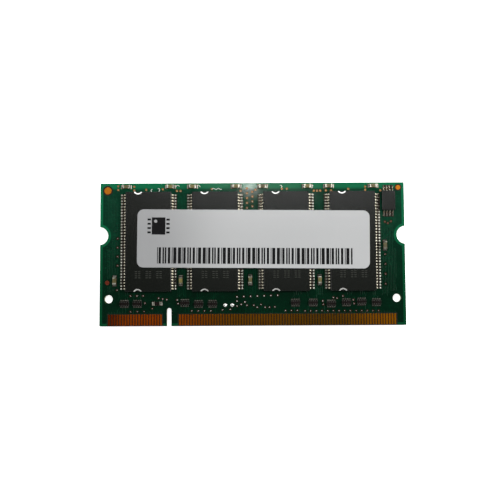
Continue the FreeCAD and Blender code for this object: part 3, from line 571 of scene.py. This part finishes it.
class Router:
    """Copper tracks of one face, kept clear of its pads, vias, marks and tooling holes."""

    WIDTH = 0.13
    CLEAR = 0.14
    HOLE_CLEAR = 0.4
    SHORTEST = 0.7
    # How far apart a run is tested against the obstacles, and a straight line for its free stretches.
    TEST_STEP = 0.08
    LINE_STEP = 0.1
    # How far a track runs into the contact or pad at its end.
    OVERLAP = 0.05

    def __init__(self, face):
        self.obstacles = islands("pads_" + face) + islands("via_barrels") + islands("alignment_marks")
        self.contacts = sorted(islands("contacts_" + face + "_short_row")
                               + islands("contacts_" + face + "_long_row"))
        for name in ("tooling_hole_left", "tooling_hole_right"):
            x, y = (Vector(MOUNTS[name]["pos_m"]) / MM)[0:2]
            radius = MOUNTS[name]["dims"]["r_mm"] + self.HOLE_CLEAR
            self.obstacles.append((x - radius, y - radius, x + radius, y + radius))
        self.paths = []

    def blocked(self, start, end, leave=()):
        """Whether a straight run passes too near an obstacle that isn't one of its own ends."""
        reach = self.WIDTH / 2 + self.CLEAR
        steps = max(2, int((end - start).length / self.TEST_STEP))
        for box in self.obstacles:
            if box in leave:
                continue
            low_x, low_y, high_x, high_y = box
            for index in range(steps + 1):
                spot = start.lerp(end, index / steps)
                if low_x - reach < spot.x < high_x + reach and low_y - reach < spot.y < high_y + reach:
                    return True
        return False

    def keep(self, points, leave=()):
        """Add a path if every run of it is free, and say whether it was."""
        path = [Vector(point) for point in points]
        if any(self.blocked(start, end, leave) for start, end in zip(path, path[1:])):
            return False
        self.paths.append(path)
        return True

    def straight(self, start, end):
        """Add the free stretches of a straight line."""
        start, end = Vector(start), Vector(end)
        count = max(2, int((end - start).length / self.LINE_STEP))
        nudge = Vector((0.001, 0.001))
        stretch = []
        for index in range(count + 1):
            spot = start.lerp(end, index / count)
            free = not self.blocked(spot, spot + nudge)
            if free:
                stretch.append(spot)
            if stretch and (not free or index == count):
                if (stretch[-1] - stretch[0]).length > self.SHORTEST:
                    self.paths.append([stretch[0], stretch[-1]])
                stretch = []

    def from_contacts(self):
        """A track up from each contact to a near pad or via above it, or else a short stub."""
        low_y = from_edge(2.9)
        high_y = from_edge(4.7)
        tallest = 0.7
        apart = 0.25
        furthest = 0.9
        stub, stub_spread = 0.35, 0.3
        targets = sorted(box for box in self.obstacles
                         if low_y < middle(box)[1] < high_y and box[3] - box[1] < tallest)
        last_x = -math.inf
        for contact in self.contacts:
            x = middle(contact)[0]
            top = contact[3]
            start = (x, top - self.OVERLAP)
            near = [box for box in targets
                    if middle(box)[0] > last_x + apart and abs(middle(box)[0] - x) < furthest]
            near.sort(key=lambda box: abs(middle(box)[0] - x))
            for box in near[:2]:
                goal = Vector(middle(box))
                shift = abs(goal.x - x)
                turn = goal.y - shift - self.OVERLAP
                if self.keep([start, (x, turn), (goal.x, turn + shift), (goal.x, goal.y)], leave=(box,)):
                    last_x = goal.x
                    targets.remove(box)
                    break
            else:
                self.keep([start, (x, top + stub + stub_spread * rng.random())])

    def from_arrays(self, boxes, rise_to):
        """A track up from each upper pad of the arrays, jogging sideways under the chips."""
        jog = 0.45
        stagger = 0.12
        for index, box in enumerate(boxes):
            x, y = middle(box)
            turn = y + jog + stagger * (index % 4)
            ways = [[(x, y), (x, turn), (x + shift, turn + jog), (x + shift, rise_to)]
                    for shift in (jog, -jog)]
            ways.append([(x, y), (x, rise_to)])
            for way in ways:
                if self.keep(way, leave=(box,)):
                    break

    def between_chips(self, face):
        """Upright tracks side by side beside and between the chips, open round the latch notches."""
        board_margin = 1.2
        channel_margins = 1.0
        first = 0.62
        pitch = 0.34
        lower_end, lower_spread = 6.4, 0.9
        upper_end, upper_spread = 29.2, 1.2
        notch_side = LATCH_NOTCH_RADIUS + 0.8
        notch_gap = 0.9
        spans = [box_mm(name + "_leads") for name in CHIPS[face]]
        lows = [BOARD_LOW.x + board_margin] + [high.x for low, high in spans]
        highs = [low.x for low, high in spans] + [BOARD_HIGH.x - board_margin]
        for low, high in zip(lows, highs):
            for index in range(int((high - low - channel_margins) / pitch)):
                x = low + first + index * pitch
                y_low = from_edge(lower_end + lower_spread * rng.random())
                y_high = from_edge(upper_end - upper_spread * rng.random())
                if abs(abs(x) - LATCH_NOTCH.x) < notch_side:
                    self.straight((x, y_low), (x, LATCH_NOTCH.y - LATCH_NOTCH_RADIUS - notch_gap))
                    self.straight((x, LATCH_NOTCH.y + LATCH_NOTCH_RADIUS + notch_gap), (x, y_high))
                else:
                    self.straight((x, y_low), (x, y_high))

    def along_top(self):
        """Three parallel tracks along the top edge, in three lengths."""
        indent = 0.5
        for index, distance in enumerate((29.62, 29.96, 30.3)):
            y = from_edge(distance)
            for low, high in ((-29.4, -11.0), (-10.2, 5.5), (6.4, 28.3)):
                self.straight((low + indent * index, y), (high - indent * index, y))


def route(face):
    """The paths of one face's tracks."""
    pad_row = (from_edge(5.2), from_edge(6.0))
    widest_pad = 0.4
    chips_start = from_edge(8.2)
    router = Router(face)
    router.from_contacts()
    upper_pads = [box for box in islands("pads_" + face)
                  if pad_row[0] < middle(box)[1] < pad_row[1] and box[2] - box[0] < widest_pad]
    router.from_arrays(upper_pads, chips_start)
    router.between_chips(face)
    router.along_top()
    return router.paths


def tracks(face):
    """Low ridges in the solder mask where the copper tracks run under it."""
    sunk = 0.004
    height = 0.007

    def build(work):
        for path in route(face):
            add_ridge(work, path, Router.WIDTH / 2, SURFACE[face] - OUTWARD[face] * sunk,
                      height, OUTWARD[face])

    new_piece("mask_ridges_" + face, build, TRACK_MATERIAL)


def chip_strokes(face, rows):
    """Plain laser strokes on a face's chips: groups of short dashes in rows, which spell nothing."""
    sunk = 0.02
    # The rear chips' faces are the lowest of the whole box, so nothing stands proud of them.
    proud = {"front": 0.002, "rear": 0.0}[face]
    groups, columns, lines = 3, 2, 4
    first_x = -2.9
    group_step = 2.35
    dash = (0.5, 0.17)
    dash_step = (0.72, 0.45)

    def build(work):
        for chip in CHIPS[face]:
            low, high = box_mm(chip + "_body")
            middle_x = ((low + high) / 2).x
            surface = high.z if face == "front" else low.z
            low_z, high_z = sorted((surface - OUTWARD[face] * sunk, surface + OUTWARD[face] * proud))
            for row, group, column, line in itertools.product(
                    rows, range(groups), range(columns), range(lines)):
                x = middle_x + first_x + group * group_step + column * dash_step[0]
                y = low.y + row + line * dash_step[1]
                add_plate(work, x, y, x + dash[0], y + dash[1], low_z, high_z)

    new_piece("laser_strokes_" + face, build, LASER_MATERIAL)


def arc(centre, radius, start, end):
    """Points of a flat arc, its angles in degrees."""
    count = 8
    angles = [math.radians(start + (end - start) * index / count) for index in range(count + 1)]
    return [Vector((centre[0] + radius * math.cos(angle), centre[1] + radius * math.sin(angle)))
            for angle in angles]


# Each arc's x, distance from the contact edge, radius, and first and last angle.
WHITE_ARCS = (
    (-22.2, 30.1, 0.34, 100, 300),
    (-20.9, 30.25, 0.3, -80, 120),
    (-16.6, 30.9, 0.36, 20, 170),
    (-12.0, 30.9, 0.36, 0, 150),
    (6.3, 30.9, 0.3, -60, 110),
    (13.4, 30.75, 0.32, 60, 230),
)


def board_print():
    """White arcs and a wave among the parts of the top edge."""
    half_width = 0.07
    thickness = 0.008
    wave_x, wave_y = -8.9, from_edge(30.42)
    wave_step = 0.26
    wave_height = 0.14
    wave_turn = 1.5
    wave = [Vector((wave_x + wave_step * index, wave_y + wave_height * math.sin(index * wave_turn)))
            for index in range(9)]
    arcs = [arc((x, from_edge(distance)), radius, start, end)
            for x, distance, radius, start, end in WHITE_ARCS]

    def build(work):
        for path in [wave] + arcs:
            add_ridge(work, path, half_width, SURFACE["front"] - thickness / 2, thickness * 1.5, 1)

    new_piece("board_print", build, WHITE_STROKE_MATERIAL)


# ---------------------------------------------------------------- studio

# The floor glows up to the first radius round the module, and falls to the far glow at the second.
GLOW = 0.85
FAR_GLOW = 0.22
GLOW_RADIUS = (0.10, 0.25)


def floor():
    """A pale floor that curves up into a backdrop far from the module."""
    rings = 40
    spokes = 96
    flat = 0.9
    rise = 0.7
    below = 0.00003
    profile = [(flat * 0.5, 0.0), (flat, 0.0)]
    for index in range(1, rings + 1):
        angle = math.pi / 2 * index / rings
        profile.append((flat + rise * math.sin(angle), rise * (1 - math.cos(angle))))
    mesh = bpy.data.meshes.new("floor")
    work = bmesh.new()
    centre = work.verts.new((0, 0, -below))
    last = None
    for radius, height in profile:
        ring = [work.verts.new((radius * math.cos(2 * math.pi * spoke / spokes),
                                radius * math.sin(2 * math.pi * spoke / spokes), height - below))
                for spoke in range(spokes)]
        for spoke in range(spokes):
            following = (spoke + 1) % spokes
            if last is None:
                work.faces.new((centre, ring[spoke], ring[following]))
            else:
                work.faces.new((last[spoke], ring[spoke], ring[following], last[following]))
        last = ring
    for face in work.faces:
        face.smooth = True
    work.to_mesh(mesh)
    work.free()
    graph = Graph("studio_floor")
    graph.set(Roughness=0.9, Specular_IOR_Level=0.1, Emission_Color=(1.0, 1.0, 1.0, 1.0))
    near = graph.step(graph.length(*graph.axes()[0:2]), GLOW_RADIUS[1], GLOW_RADIUS[0])
    graph.link(graph.span(near, FAR_GLOW, GLOW), "Emission Strength")
    graph.link(graph.mix(graph.noise(60.0), (0.93, 0.93, 0.93), (0.95, 0.95, 0.95)), "Base Color")
    mesh.materials.append(graph.material)
    stage = bpy.data.objects.new("floor", mesh)
    bpy.context.scene.collection.objects.link(stage)


def softbox(name, place, aim, size, power):
    """A rectangular lamp at a place, pointed at a spot."""
    data = bpy.data.lights.new(name, "AREA")
    data.shape = "RECTANGLE"
    data.size, data.size_y = size
    data.energy = power
    lamp = bpy.data.objects.new(name, data)
    lamp.location = place
    direction = Vector(aim) - Vector(place)
    lamp.rotation_euler = direction.to_track_quat("-Z", "Y").to_euler()
    bpy.context.scene.collection.objects.link(lamp)


def lights():
    """Five softboxes round the module, and two small lamps that the camera sees mirrored in it."""
    module = (0, 0, 0)
    softbox("key_softbox", (0.02, 0.175, 0.54), module, (0.22, 0.05), 0.74)
    softbox("back_softbox", (0.02, 0.56, 0.44), module, (0.6, 0.24), 1.6)
    softbox("left_softbox", (-0.58, 0.05, 0.40), module, (0.2, 0.5), 1.6)
    softbox("right_softbox", (0.40, 0.08, 0.30), module, (0.2, 0.4), 2.3)
    softbox("front_softbox", (0.0, -0.60, 0.36), module, (0.5, 0.2), 0.8)
    softbox("small_lamp", (0.002, 0.109, 0.595), (0, 0.015, 0.001), (0.010, 0.006), 0.0085)
    softbox("sheen_lamp", (0.012, 0.109, 0.597), (0, 0.015, 0), (0.11, 0.010), 0.0042)
    world = bpy.data.worlds.new("studio")
    world.use_nodes = True
    background = world.node_tree.nodes["Background"]
    background.inputs["Color"].default_value = (0.9, 0.95, 1.0, 1.0)
    background.inputs["Strength"].default_value = 0.04
    bpy.context.scene.world = world
    bpy.context.scene.view_settings.view_transform = "Standard"


def camera():
    """The camera stands over the contact edge's side and leans a few degrees towards the top edge."""
    distance = 184.08
    lean = math.radians(4.594)
    side_lean = math.radians(-0.183)
    roll = math.radians(-0.293)
    data = bpy.data.cameras.new("camera")
    data.sensor_width = 36.0
    data.lens = 60.0
    data.clip_start = 0.01
    data.clip_end = 20.0
    viewer = bpy.data.objects.new("camera", data)
    viewer.rotation_euler = (lean, side_lean, roll)
    viewer.location = Vector((-1.235, from_edge(1.945), SURFACE["front"] + distance)) * MM
    bpy.context.scene.collection.objects.link(viewer)
    bpy.context.scene.camera = viewer


camera()
floor()
lights()
dress_nodes()
tracks("front")
tracks("rear")
board_print()
chip_strokes("front", rows=(3.0,))
chip_strokes("rear", rows=(9.0, 11.6))
